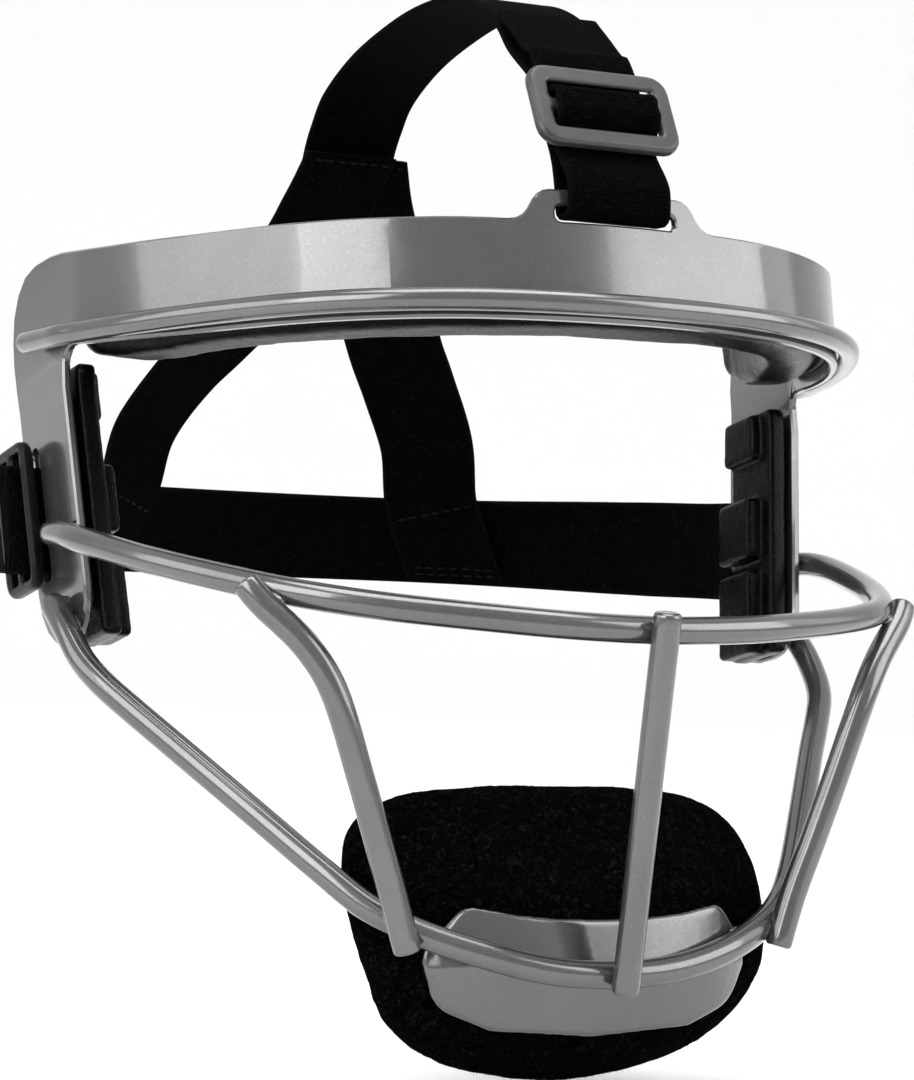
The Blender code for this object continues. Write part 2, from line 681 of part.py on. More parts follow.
def yoke_strap(name, side, depth, spread):
    """One leg of the yoke, from the crown junction down to the inner side of the back strap."""
    points = [on_strap_inside(side, x + spread, t) for x, t in ((0.0508, -0.0115), (0.0478, 0.0),
                                                                (0.0446, 0.0115))]
    route = [(0.0362, 0.1608, -0.0240), (0.0280, 0.1560, -0.0090), (0.0205, 0.1510, 0.0030),
             (0.0100, 0.1420, 0.0250)]
    route.append((0.0022, 0.1335, 0.0474))
    for x, y, z in route:
        wide = spread * ease(z, 0.030, -0.010)
        points.append(Vector((side * (x + wide), y - depth * ease(z, -0.030, 0.0), z)))
    points = smooth_through(points, 3)
    stations = []
    for index, place in enumerate(points):
        along = (points[min(index + 1, len(points) - 1)] - points[max(index - 1, 0)]).normalized()
        turn = side * math.radians(29.0) * ease(place.z, 0.038, -0.004)
        slope = math.radians(22.0)
        outward = Vector((math.sin(turn), math.cos(turn) * math.cos(slope), math.cos(turn) * math.sin(slope)))
        outward = (outward - along * outward.dot(along)).normalized()
        across = along.cross(outward)
        level_across = across - along * (across.z / along.z)
        across = across.lerp(level_across, ease(place.z, -0.045, -0.055))
        across = across.lerp(level_across.normalized(), ease(place.z, 0.028, 0.043))
        stations.append((place, across, outward))
    w, t = WEB_WIDTH / 2, WEB / 2
    section = [(-w, -t), (w, -t), (w, t), (-w, t)]
    return sweep(name, stations, section, harness, WEBBING)


# ---------------------------------------------------------------- assembly
clear_scene()
parts = make_collection(OBJECT_NAME)
cutters = make_collection("cutters")
steel_frame = make_empty("steel_frame", Matrix.Rotation(-LEAN, 3, "X") @ -FRAME_ORIGIN, -LEAN)
harness = make_empty("harness", (0.0, 0.0, 0.0))

brow_plate()
brow_wire()
cage_cutters = [cutter_of(cheek_wire()), cutter_of(jaw_wire())]
centre_wire()
side_wire("right_vertical_wire", 1)
side_wire("left_vertical_wire", -1)
chin_plate()
chin_tape()
chin_pad()
brow_tape()
brow_pad()
for word, sign in (("right", 1), ("left", -1)):
    side_tape(word + "_side_tape", sign)
    side_pad(word + "_side_pad", sign)
    yoke_strap(word + "_yoke_strap", sign, *((0.0, 0.0) if sign > 0 else (0.0032, 0.0075)))
    upright = (0.0, sign * (math.pi / 2 + LEG_TILT), 0.0)
    buckle(word + "_buckle", (sign * SIDE_BUCKLE_AT.x, *SIDE_BUCKLE_AT.yz), upright, SIDE_BUCKLE_WINDOW)
top_strap()
back_strap()
buckle("top_buckle", TOP_BUCKLE_AT, (math.pi / 2 - TOP_BUCKLE_TILT, 0.0, 0.0), TOP_BUCKLE_WINDOW)
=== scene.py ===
"""Fielder's face mask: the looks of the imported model."""

import math

import bmesh
import bpy
from mathutils import Matrix, Vector, noise


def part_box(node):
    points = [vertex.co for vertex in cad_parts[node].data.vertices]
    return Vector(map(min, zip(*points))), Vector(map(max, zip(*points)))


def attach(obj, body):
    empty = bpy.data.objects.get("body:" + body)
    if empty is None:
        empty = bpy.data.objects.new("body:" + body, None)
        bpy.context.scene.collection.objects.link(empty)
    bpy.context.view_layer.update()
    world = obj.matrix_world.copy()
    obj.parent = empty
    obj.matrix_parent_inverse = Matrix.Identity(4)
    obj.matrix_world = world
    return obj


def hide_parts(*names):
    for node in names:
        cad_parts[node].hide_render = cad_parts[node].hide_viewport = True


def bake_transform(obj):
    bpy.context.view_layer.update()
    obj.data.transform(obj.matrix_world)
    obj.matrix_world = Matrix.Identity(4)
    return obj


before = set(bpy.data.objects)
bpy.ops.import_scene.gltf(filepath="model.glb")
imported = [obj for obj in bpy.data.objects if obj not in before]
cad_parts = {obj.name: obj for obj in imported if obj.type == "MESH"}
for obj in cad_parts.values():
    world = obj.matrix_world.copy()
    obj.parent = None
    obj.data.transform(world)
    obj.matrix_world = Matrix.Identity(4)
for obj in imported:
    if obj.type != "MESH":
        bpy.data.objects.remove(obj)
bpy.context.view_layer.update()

# Stance of the steel frame and the sizes repeated from the CAD source, in metres.
LEAN = math.radians(12.0)
FRAME_ORIGIN = Vector((0.0, -0.0880, 0.0600))
STANCE = Matrix.Rotation(-LEAN, 4, "X") @ Matrix.Translation(-FRAME_ORIGIN)
WIRE = 0.0030
WEB_WIDTH = 0.0250
WEB = 0.0015
LEG_TILT = math.radians(4.5)
LOOP_RADIUS = 0.0970
LOOP_CENTRE = 0.0877
LOOP_HEIGHT = -0.0495
STRAP_BACK_LEAN = math.radians(26.0)
CURVE_CLEARANCE = 0.0030
TAB_OFFSET = -0.0025

FLOOR_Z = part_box("chin_pad")[0][2] - 0.0010


# ---------------------------------------------------------------- materials
class Paint:
    """A Principled material whose nodes are added one by one."""

    def __init__(self, name, colour, roughness, metallic=0.0):
        self.material = bpy.data.materials.new(name)
        self.material.use_nodes = True
        self.tree = self.material.node_tree
        self.shader = self.tree.nodes["Principled BSDF"]
        self.put(self.shader, "Base Color", (*colour, 1.0))
        self.put(self.shader, "Roughness", roughness)
        self.put(self.shader, "Metallic", metallic)
        self.place = self.node("ShaderNodeTexCoord").outputs["Object"]

    def node(self, kind, **inputs):
        made = self.tree.nodes.new(kind)
        for key, value in inputs.items():
            self.put(made, key.replace("_", " "), value)
        return made

    def put(self, node, key, value):
        if isinstance(value, bpy.types.NodeSocket):
            self.tree.links.new(value, node.inputs[key])
        else:
            node.inputs[key].default_value = value

    def stretched(self, source, scale, turn=(0.0, 0.0, 0.0)):
        mapping = self.node("ShaderNodeMapping", Vector=source, Scale=scale, Rotation=turn)
        return mapping.outputs["Vector"]

    def noise(self, scale, detail=2.0, roughness=0.5, source=None, distortion=0.0):
        made = self.node("ShaderNodeTexNoise", Vector=source or self.place, Scale=scale)
        made.inputs["Detail"].default_value = detail
        made.inputs["Roughness"].default_value = roughness
        made.inputs["Distortion"].default_value = distortion
        return made.outputs["Fac"]

    def cells(self, scale, source=None):
        made = self.node("ShaderNodeTexVoronoi", Vector=source or self.place, Scale=scale)
        return made.outputs

    def ramp(self, value, low, high, start=0.0, end=1.0):
        made = self.node("ShaderNodeMapRange", Value=value)
        made.inputs["From Min"].default_value = low
        made.inputs["From Max"].default_value = high
        made.inputs["To Min"].default_value = start
        made.inputs["To Max"].default_value = end
        return made.outputs["Result"]

    def maths(self, operation, first, second):
        made = self.tree.nodes.new("ShaderNodeMath")
        made.operation = operation
        for index, value in enumerate((first, second)):
            if isinstance(value, bpy.types.NodeSocket):
                self.tree.links.new(value, made.inputs[index])
            else:
                made.inputs[index].default_value = value
        return made.outputs[0]

    def mix(self, factor, first, second):
        made = self.tree.nodes.new("ShaderNodeMix")
        made.data_type = "RGBA"
        self.tree.links.new(factor, made.inputs[0])
        for index, value in ((6, first), (7, second)):
            if isinstance(value, bpy.types.NodeSocket):
                self.tree.links.new(value, made.inputs[index])
            else:
                made.inputs[index].default_value = (*value, 1.0)
        return made.outputs[2]

    def colour(self, socket):
        self.put(self.shader, "Base Color", socket)

    def rough(self, socket):
        self.put(self.shader, "Roughness", socket)

    def bump(self, height, distance, strength=1.0):
        """Adds relief on top of the relief already there."""
        made = self.node("ShaderNodeBump", Height=height)
        made.inputs["Distance"].default_value = distance
        made.inputs["Strength"].default_value = strength
        before = self.shader.inputs["Normal"].links
        if before:
            self.tree.links.new(before[0].from_socket, made.inputs["Normal"])
        self.tree.links.new(made.outputs["Normal"], self.shader.inputs["Normal"])

    def gloss(self, **values):
        for key, value in values.items():
            self.shader.inputs[key.replace("_", " ")].default_value = value


def steel_paint():
    paint = Paint("gloss_grey_powder_coat", (0.15, 0.152, 0.155), 0.22, 0.75)
    flakes = paint.cells(2600.0)["Color"]
    grain = paint.noise(900.0, 3.0, 0.6)
    clouds = paint.noise(28.0, 3.0, 0.55)
    shade = paint.mix(paint.ramp(clouds, 0.35, 0.68), (0.078, 0.0792, 0.081), (0.096, 0.0973, 0.099))
    sparkle = paint.ramp(paint.node("ShaderNodeSeparateColor", Color=flakes).outputs[0], 0.80, 1.0, 0.0, 0.22)
    shade = paint.mix(sparkle, shade, (0.160, 0.162, 0.165))
    paint.colour(shade)
    paint.rough(paint.ramp(grain, 0.3, 0.7, 0.16, 0.22))
    paint.bump(paint.noise(420.0, 2.0, 0.5), 0.000010)
    paint.bump(grain, 0.000005)
    paint.gloss(Coat_Weight=0.35, Coat_Roughness=0.06)
    return paint.material


def webbing():
    """Knitted elastic: fine ribs across the strap, fine cords along it, and a bound edge."""
    paint = Paint("black_elastic_webbing", (0.006, 0.006, 0.006), 0.88)
    across = paint.node("ShaderNodeSeparateXYZ", Vector=paint.node("ShaderNodeUVMap").outputs["UV"]).outputs
    u, v = across["X"], across["Y"]
    ribs = paint.maths("SINE", paint.maths("MULTIPLY", v, 2 * math.pi / 0.85), 0.0)
    cords = paint.maths("SINE", paint.maths("MULTIPLY", u, 2 * math.pi / 0.62), 0.0)
    knit = paint.maths("MULTIPLY", ribs, cords)
    fluff = paint.noise(1500.0, 4.0, 0.7)
    lint = paint.noise(900.0, 5.0, 0.8)
    edge = paint.ramp(paint.maths("ABSOLUTE", u, 0.0), 11.2, 12.3)
    height = paint.maths("ADD", paint.maths("MULTIPLY", knit, 0.35), paint.maths("MULTIPLY", ribs, 0.45))
    height = paint.maths("ADD", height, fluff)
    shade = paint.mix(paint.ramp(height, -0.4, 1.3), (0.0001, 0.0001, 0.0001), (0.0008, 0.0008, 0.0008))
    shade = paint.mix(paint.ramp(lint, 0.54, 0.70, 0.0, 0.8), shade, (0.0060, 0.0060, 0.0060))
    shade = paint.mix(paint.maths("MULTIPLY", edge, 0.4), shade, (0.0035, 0.0035, 0.0035))
    paint.colour(shade)
    paint.bump(height, 0.00009)
    paint.gloss(Sheen_Weight=0.0015, Sheen_Roughness=0.4, Specular_IOR_Level=0.012)
    return paint.material


def rubber():
    paint = Paint("black_foam_rubber", (0.010, 0.010, 0.0105), 0.5)
    skin = paint.noise(1300.0, 3.0, 0.65)
    dents = paint.noise(130.0, 3.0, 0.5)
    pores = paint.cells(1700.0)["Distance"]
    shade = paint.mix(paint.ramp(dents, 0.3, 0.7), (0.0005, 0.0005, 0.0005), (0.0016, 0.0016, 0.0017))
    dust = paint.ramp(paint.noise(420.0, 6.0, 0.8), 0.62, 0.78, 0.0, 0.5)
    paint.colour(paint.mix(dust, shade, (0.010, 0.010, 0.010)))
    paint.rough(paint.ramp(skin, 0.3, 0.7, 0.24, 0.38))
    paint.bump(dents, 0.00012)
    paint.bump(pores, 0.00004)
    paint.bump(skin, 0.00003)
    paint.gloss(Specular_IOR_Level=0.055)
    return paint.material


def felt():
    paint = Paint("black_loop_felt", (0.006, 0.006, 0.006), 0.95)
    tangle = paint.noise(760.0, 6.0, 0.8, distortion=1.2)
    curls = paint.cells(900.0)["Distance"]
    clumps = paint.noise(150.0, 3.0, 0.6)
    lint = paint.noise(520.0, 8.0, 0.85, distortion=2.0)
    shade = paint.mix(paint.ramp(tangle, 0.35, 0.65), (0.0001, 0.0001, 0.0001), (0.0007, 0.0007, 0.0007))
    shade = paint.mix(paint.ramp(lint, 0.53, 0.70, 0.0, 1.0), shade, (0.0150, 0.0150, 0.0150))
    paint.colour(shade)
    paint.bump(clumps, 0.0003)
    paint.bump(tangle, 0.00025)
    paint.bump(curls, 0.00012)
    paint.gloss(Sheen_Weight=0.001, Sheen_Roughness=0.5, Specular_IOR_Level=0.006)
    return paint.material


def hook():
    paint = Paint("black_hook_tape", (0.010, 0.010, 0.010), 0.7)
    dots = paint.cells(1100.0)["Distance"]
    paint.colour(paint.mix(paint.ramp(dots, 0.0, 0.6), (0.008, 0.008, 0.008), (0.0015, 0.0015, 0.0015)))
    paint.bump(dots, 0.0002)
    return paint.material


def plastic(name, dark, light, shine):
    """Fine-grained moulded plastic whose shade drifts between two greys."""
    paint = Paint(name, (light, light, light), 0.36)
    grain = paint.noise(2100.0, 2.0, 0.5)
    clouds = paint.noise(120.0, 4.0, 0.6)
    shade = paint.mix(paint.ramp(clouds, 0.3, 0.7), (dark, dark, dark), (light, light, light))
    paint.colour(shade)
    paint.rough(paint.ramp(grain, 0.3, 0.7, 0.30, 0.44))
    paint.bump(grain, 0.00003)
    paint.gloss(Specular_IOR_Level=shine)
    return paint.material


def thread():
    paint = Paint("black_thread", (0.012, 0.012, 0.012), 0.6)
    twist = paint.noise(2600.0, 2.0, 0.5)
    paint.colour(paint.mix(paint.ramp(twist, 0.35, 0.65), (0.0006, 0.0006, 0.0006), (0.0045, 0.0045, 0.0045)))
    paint.bump(twist, 0.00006)
    paint.gloss(Specular_IOR_Level=0.05)
    return paint.material


def studio():
    paint = Paint("pale_floor", (0.86, 0.86, 0.86), 0.9)
    paint.colour(paint.mix(paint.noise(3.0), (0.84, 0.84, 0.84), (0.82, 0.82, 0.82)))
    return paint.material


STEEL = steel_paint()
WEBBING = webbing()
RUBBER = rubber()
FELT = felt()
HOOK = hook()
GREY_PLASTIC = plastic("grey_moulded_plastic", 0.013, 0.024, 0.42)
# A darker, less shiny copy of the same moulded plastic for the side tri-glides: painted shade, since these buckles look
# dark only because of how the light falls on them.
DARKER_PAINTED_SHADE_PLASTIC = plastic("moulded_plastic_painted_shade", 0.0010, 0.0024, 0.10)
THREAD = thread()


# The brow pad is stuck on a little aslant: rise per length across.
BROW_PAD_SLANT = 0.024
# The top tri-glide: tilt of its plane, where its window's edges lie, and how far they move in (front, back).
GLIDE_TILT = math.radians(60.0)
WINDOW_RISE = (0.0066, 0.0086)
WINDOW_SIDE = (0.0126, 0.0148)
BROADER_BAR = (0.0014, 0.0002)
BROADER_END = (0.0006, 0.0002)


# ---------------------------------------------------------------- mesh helpers
def place_object(name, mesh, material, body=None):
    mesh.materials.clear()
    mesh.materials.append(material)
    obj = bpy.data.objects.new(name, mesh)
    bpy.context.scene.collection.objects.link(obj)
    if body:
        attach(obj, body)
    return obj


def finish_mesh(name, bm, smooth=True):
    mesh = bpy.data.meshes.new(name)
    bm.to_mesh(mesh)
    bm.free()
    if smooth:
        mesh.shade_smooth()
    return mesh


def solid_of(node):
    """The CAD node's solid with its split vertices joined, as a bmesh."""
    bm = bmesh.new()
    bm.from_mesh(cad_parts[node].data)
    bmesh.ops.remove_doubles(bm, verts=bm.verts, dist=0.000005)
    for layer in list(bm.loops.layers.float_vector) + list(bm.loops.layers.uv):
        if layer.name == "custom_normal":
            bm.loops.layers.float_vector.remove(layer)
    for face in bm.faces:
        face.smooth = True
    for edge in bm.edges:
        edge.smooth = True
    return bm


def applied(name, bm, *modifiers):
    """The mesh with the modifiers applied, each given as (kind, {property: value})."""
    obj = bpy.data.objects.new(name, finish_mesh(name, bm))
    bpy.context.scene.collection.objects.link(obj)
    for kind, settings in modifiers:
        modifier = obj.modifiers.new(kind.lower(), kind)
        for key, value in settings.items():
            setattr(modifier, key, value)
    bpy.context.view_layer.update()
    graph = bpy.context.evaluated_depsgraph_get()
    mesh = bpy.data.meshes.new_from_object(obj.evaluated_get(graph))
    mesh.name = name
    old = obj.data
    bpy.data.objects.remove(obj, do_unlink=True)
    bpy.data.meshes.remove(old)
    return mesh


def refined(node, name, material, body, rounding=0.0, levels=0, quads=False):
    """A smoother copy of a hard CAD solid, which stands for it."""
    bm = solid_of(node)
    if quads:
        bmesh.ops.dissolve_limit(bm, angle_limit=math.radians(0.5), verts=bm.verts, edges=bm.edges)
        flat = math.radians(50.0)
        bmesh.ops.join_triangles(bm, faces=bm.faces, angle_face_threshold=flat, angle_shape_threshold=math.pi)
    steps = []
    if rounding:
        bevel = {"width": rounding, "segments": 3, "limit_method": "ANGLE", "angle_limit": math.radians(28.0)}
        bevel["use_clamp_overlap"] = True
        steps.append(("BEVEL", bevel))
    if levels:
        steps.append(("SUBSURF", {"levels": levels, "render_levels": levels}))
    steps.append(("WEIGHTED_NORMAL", {"keep_sharp": False, "weight": 60}))
    obj = place_object(name, applied(name, bm, *steps), material, body)
    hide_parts(node)
    return obj


def smooth_through(points, steps):
    """Points along a Catmull-Rom curve that passes through the given points."""
    route = [Vector(p) for p in points]
    route = [2 * route[0] - route[1], *route, 2 * route[-1] - route[-2]]
    result = []
    for a, b, c, d in zip(route, route[1:], route[2:], route[3:]):
        for step in range(steps):
            t = step / steps
            line = (c - a) * t
            bend = (2 * a - 5 * b + 4 * c - d) * t ** 2
            twist = (3 * b - a - 3 * c + d) * t ** 3
            result.append(0.5 * (2 * b + line + bend + twist))
    result.append(route[-2])
    return result


def even(points, step):
    """The same route with its points evenly spaced."""
    lengths = [0.0]
    for a, b in zip(points, points[1:]):
        lengths.append(lengths[-1] + (b - a).length)
    count = max(2, round(lengths[-1] / step))
    result = []
    index = 0
    for number in range(count + 1):
        want = lengths[-1] * number / count
        while index < len(points) - 2 and lengths[index + 1] < want:
            index += 1
        share = (want - lengths[index]) / max(lengths[index + 1] - lengths[index], 1e-9)
        result.append(points[index].lerp(points[index + 1], min(max(share, 0.0), 1.0)))
    return result


def ease(value, start, end):
    t = min(max((value - start) / (end - start), 0.0), 1.0)
    return t * t * (3 - 2 * t)


def tube(name, route, radius, sides=28, dome=0.0009):
    """A round wire with softened ends along a route."""
    points = even(smooth_through(route, 12), 0.0022)
    bm = bmesh.new()
    first = (points[1] - points[0]).normalized()
    across = first.cross(Vector((0.0, 1.0, 0.3))).normalized()
    rings = []
    stations = []
    for index, point in enumerate(points):
        along = (points[min(index + 1, len(points) - 1)] - points[max(index - 1, 0)]).normalized()
        across = (across - along * across.dot(along)).normalized()
        stations.append((point, along, across.copy(), radius))
    for end in (0, -1):
        point, along, side, size = stations[end]
        way = -along if end == 0 else along
        extra = []
        for part in (30.0, 60.0, 85.0):
            a = math.radians(part)
            extra.append((point + way * dome * math.sin(a), along, side, size - dome * (1 - math.cos(a))))
        if end == 0:
            stations = extra[::-1] + stations
        else:
            stations = stations + extra
    for point, along, side, size in stations:
        other = along.cross(side)
        ring = []
        for index in range(sides):
            a = 2 * math.pi * index / sides
            ring.append(bm.verts.new(point + (side * math.cos(a) + other * math.sin(a)) * size))
        rings.append(ring)
    for ring, after in zip(rings, rings[1:]):
        for index in range(sides):
            following = (index + 1) % sides
            bm.faces.new((ring[index], ring[following], after[following], after[index]))
    bm.faces.new(rings[0][::-1])
    bm.faces.new(rings[-1])
    bmesh.ops.recalc_face_normals(bm, faces=bm.faces)
    return finish_mesh(name, bm)


# ---------------------------------------------------------------- webbing
def strap_section(width, thickness):
    """Half a section's points, (across, outward), round the strap: flat faces, rounded edges and a firmer selvage."""
    w, t = width / 2, thickness / 2
    top = [(-w + t, t), (-w + 2.2 * t, t * 1.04), (-w + 3.4 * t, t * 0.97)]
    inner = [(-w * 0.5, t), (0.0, t), (w * 0.5, t)]
    top += inner + [(w - 3.4 * t, t * 0.97), (w - 2.2 * t, t * 1.04), (w - t, t)]
    right = [(w - t + t * math.sin(a), t * math.cos(a)) for a in (0.6, 1.2, 1.9, 2.5)]
    bottom = [(x, -y) for x, y in top[::-1]]
    left = [(-x, y) for x, y in right[::-1]]
    left = [(-w + t - t * math.sin(a), -t * math.cos(a)) for a in (0.6, 1.2, 1.9, 2.5)]
    return top + right + bottom + left


def ribbon(name, stations, thickness=WEB, width=WEB_WIDTH, start=0.0):
    """A strip of webbing through stations, (centre, across, outward); its UVs are millimetres across and along."""
    bm = bmesh.new()
    layer = bm.loops.layers.uv.new("weave")
    section = strap_section(width, thickness)
    rings = []
    run = [start]
    for before, after in zip(stations, stations[1:]):
        run.append(run[-1] + (after[0] - before[0]).length * 1000.0)
    for centre, across, outward in stations:
        rings.append([bm.verts.new(centre + across * u + outward * v) for u, v in section])
    count = len(section)
    for place, (ring, after) in enumerate(zip(rings, rings[1:])):
        for index in range(count):
            following = (index + 1) % count
            face = bm.faces.new((ring[index], ring[following], after[following], after[index]))
            corners = ((index, place), (following, place), (following, place + 1), (index, place + 1))
            for loop, (u, v) in zip(face.loops, corners):
                loop[layer].uv = (section[u][0] * 1000.0, run[v])
    for ring, value in ((rings[0], run[0]), (rings[-1], run[-1])):
        face = bm.faces.new(ring)
        for loop, (u, v) in zip(face.loops, section):
            loop[layer].uv = (u * 1000.0, value + v * 1000.0)
    bmesh.ops.recalc_face_normals(bm, faces=bm.faces)
    mesh = finish_mesh(name, bm)
    mesh.set_sharp_from_angle(angle=math.radians(50.0))
    return mesh


def strap_object(name, mesh, *nodes):
    obj = place_object(name, mesh, WEBBING)
    if nodes:
        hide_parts(*nodes)
    return obj


def level(y, z):
    """A point of the upright frame's middle plane, in the row frame."""
    place = STANCE @ Vector((0.0, y, z))
    return Vector((0.0, place.y, place.z))


def upright_stations(route):
    """Stations of a strap that runs in the middle plane and drifts to the tab's offset in front."""
    points = even(smooth_through(route, 10), 0.0013)
    stations = []
    for index, place in enumerate(points):
        along = (points[min(index + 1, len(points) - 1)] - points[max(index - 1, 0)]).normalized()
        outward = Vector((0.0, -along.z, along.y))
        centre = place.copy()
        centre.x = TAB_OFFSET * ease(place.y, 0.050, 0.005)
        stations.append((centre, Vector((1.0, 0.0, 0.0)), outward))
    return stations


CROWN = [(0.1445, 0.0300), (0.1378, 0.0470), (0.1330, 0.0545), (0.1256, 0.0617), (0.1086, 0.0690), (0.0861, 0.0740)]
CROWN += [(0.0686, 0.0758), (0.0526, 0.0753), (0.0391, 0.0717), (0.0276, 0.0660), (0.0190, 0.0590)]
CROWN += [(0.0068, 0.0512), (0.0018, 0.0446), (-0.0023, 0.0373), (-0.0055, 0.0318), (-0.0074, 0.0261)]
CROWN += [(-0.0086, 0.0205), (-0.0094, 0.0194), (-0.0110, 0.0194)]
ADJUSTER = [(-0.0110, 0.0194), (-0.0128, 0.0195), (-0.0136, 0.0203), (-0.0139, 0.0217), (-0.0130, 0.0273)]
ADJUSTER += [(-0.0075, 0.0335), (-0.0057, 0.0366), (-0.0082, 0.0427), (-0.0068, 0.0450), (-0.0055, 0.0474)]
ADJUSTER += [(0.0010, 0.0482), (0.0028, 0.0513), (0.0076, 0.0572), (0.0105, 0.0582), (0.0175, 0.0629), (0.0255, 0.0680)]


def top_straps():
    crown = upright_stations([(0.0, y, z) for y, z in CROWN])
    main = strap_object("crown_strap", ribbon("crown_strap", crown), "top_strap")
    adjuster = upright_stations([(0.0, y, z) for y, z in ADJUSTER])
    layer = strap_object("crown_strap_adjuster", ribbon("crown_strap_adjuster", adjuster))
    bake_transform(main)
    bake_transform(layer)
    return crown, adjuster


def strap_lean(x, y, t):
    """The back strap stands along the legs' slots at its ends and leans in at the top round the back."""
    at_leg = ease(y, 0.1350, 0.1080)
    at_back = ease(y, 0.1100, 0.1800) * STRAP_BACK_LEAN
    outward = Vector((x, y - LOOP_CENTRE)).normalized()
    side = math.copysign(1.0, x)
    inward = t * math.sin(at_back)
    x += side * t * math.tan(LEG_TILT) * at_leg - outward.x * inward
    y += t * math.tan(LEAN) * at_leg - outward.y * inward
    return Vector((x, y, LOOP_HEIGHT + t * math.cos(at_back)))


def lean_stations(route):
    points = even(smooth_through([(x, y, 0.0) for x, y in route], 10), 0.0013)
    stations = []
    for index, place in enumerate(points):
        after, before = points[min(index + 1, len(points) - 1)], points[max(index - 1, 0)]
        along = (strap_lean(after.x, after.y, 0.0) - strap_lean(before.x, before.y, 0.0)).normalized()
        centre = strap_lean(place.x, place.y, 0.0)
        across = (strap_lean(place.x, place.y, 0.005) - strap_lean(place.x, place.y, -0.005)).normalized()
        across = (across - along * across.dot(along)).normalized()
        stations.append((centre, across, along.cross(across)))
    return stations


def back_straps():
    half = []
    for number in range(13):
        angle = math.radians(90.0 - 62.0 * number / 12)
        half.append((LOOP_RADIUS * math.cos(angle), LOOP_CENTRE + LOOP_RADIUS * math.sin(angle)))
    half += [(0.0922, 0.1073), (0.0919, 0.0953), (0.0919, 0.0897), (0.0929, 0.0875), (0.0938, 0.0874)]
    loop = [(-x, y) for x, y in half[:0:-1]] + half
    loop_stations = lean_stations(loop)
    obj = strap_object("back_strap_loop", ribbon("back_strap_loop", loop_stations), "back_strap")
    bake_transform(obj)
    centre = Vector((0.0989, 0.0914))
    outer = [(0.0938, 0.0874), (0.0969, 0.0875), (centre.x + 0.0004, centre.y - 0.0039)]
    for along, outward in ((-0.0027, 0.00265), (0.0, 0.00265), (0.0027, 0.00265), (0.0067, -0.00255), (0.0103, -0.00255)):
        outer.append((centre.x + outward, centre.y + along))
    outer += [(0.0965, 0.1114), (0.0945, 0.1214)]
    for word, sign in (("right", 1), ("left", -1)):
        name = word + "_side_adjuster"
        stations = lean_stations([(sign * x, y) for x, y in outer])
        layer = strap_object(name, ribbon(name, stations))
        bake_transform(layer)
    return loop_stations


def on_strap_inside(side, x, t):
    outward = Vector((side * x, math.sqrt(LOOP_RADIUS ** 2 - x ** 2))).normalized()
    place = outward * (LOOP_RADIUS - WEB - CURVE_CLEARANCE)
    return strap_lean(place.x, LOOP_CENTRE + place.y, t)


def yoke_stations(side, depth, spread):
    points = [on_strap_inside(side, x + spread, t) for x, t in ((0.0508, -0.0115), (0.0478, 0.0), (0.0446, 0.0115))]
    route = [(0.0362, 0.1608, -0.0240), (0.0280, 0.1560, -0.0090), (0.0205, 0.1510, 0.0030), (0.0100, 0.1420, 0.0250)]
    route.append((0.0022, 0.1335, 0.0474))
    for x, y, z in route:
        wide = spread * ease(z, 0.030, -0.010)
        points.append(Vector((side * (x + wide), y - depth * ease(z, -0.030, 0.0), z)))
    points = even(smooth_through(points, 10), 0.0013)
    stations = []
    for index, place in enumerate(points):
        along = (points[min(index + 1, len(points) - 1)] - points[max(index - 1, 0)]).normalized()
        turn = side * math.radians(29.0) * ease(place.z, 0.038, -0.004)
        slope = math.radians(22.0)
        outward = Vector((math.sin(turn), math.cos(turn) * math.cos(slope), math.cos(turn) * math.sin(slope)))
        outward = (outward - along * outward.dot(along)).normalized()
        across = along.cross(outward)
        level_across = across - along * (across.z / along.z)
        across = across.lerp(level_across, ease(place.z, -0.045, -0.055))
        across = across.lerp(level_across.normalized(), ease(place.z, 0.028, 0.043))
        stations.append((place, across, outward))
    return stations


def yoke_straps():
    result = {}
    for word, sign in (("right", 1), ("left", -1)):
        name = word + "_yoke_webbing"
        stations = yoke_stations(sign, *((0.0, 0.0) if sign > 0 else (0.0032, 0.0075)))
        obj = strap_object(name, ribbon(name, stations), word + "_yoke_strap")
        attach(obj, "harness")
        result[word] = stations
    return result


def on_ribbon(stations, along, across, height):
    """A point on a strap: along in metres from its start, across from its middle, height off its middle."""
    run = 0.0
    for (a, u, n), (b, u2, n2) in zip(stations, stations[1:]):
        step = (b - a).length
        if run + step >= along:
            share = (along - run) / step
            return a.lerp(b, share) + u.lerp(u2, share) * across + n.lerp(n2, share) * height
        run += step
    centre, u, n = stations[-1]
    return centre + u * across + n * height


def stitches(name, paths, stitch=0.0022, gap=0.0009, radius=0.00028):
    """Raised thread stitches along paths given as lists of points."""
    bm = bmesh.new()
    for path in paths:
        points = even(path, 0.0005)
        total = 0.0005 * (len(points) - 1)
        count = max(1, round(total / (stitch + gap)))
        for number in range(count):
            start = number * total / count
            first = points[min(int(start / 0.0005), len(points) - 1)]
            last = points[min(int((start + stitch) / 0.0005), len(points) - 1)]
            if (last - first).length < 0.0004:
                continue
            along = (last - first).normalized()
            side = along.orthogonal().normalized()
            other = along.cross(side)
            rings = []
            for share, size in ((0.0, 0.35), (0.15, 0.85), (0.5, 1.0), (0.85, 0.85), (1.0, 0.35)):
                centre = first.lerp(last, share)
                ring = []
                for index in range(6):
                    a = index * math.pi / 3
                    ring.append(bm.verts.new(centre + (side * math.cos(a) + other * math.sin(a)) * radius * size))
                rings.append(ring)
            for ring, after in zip(rings, rings[1:]):
                for index in range(6):
                    following = (index + 1) % 6
                    bm.faces.new((ring[index], ring[following], after[following], after[index]))
            bm.faces.new(rings[0][::-1])
            bm.faces.new(rings[-1])
    bmesh.ops.recalc_face_normals(bm, faces=bm.faces)
    return finish_mesh(name, bm)


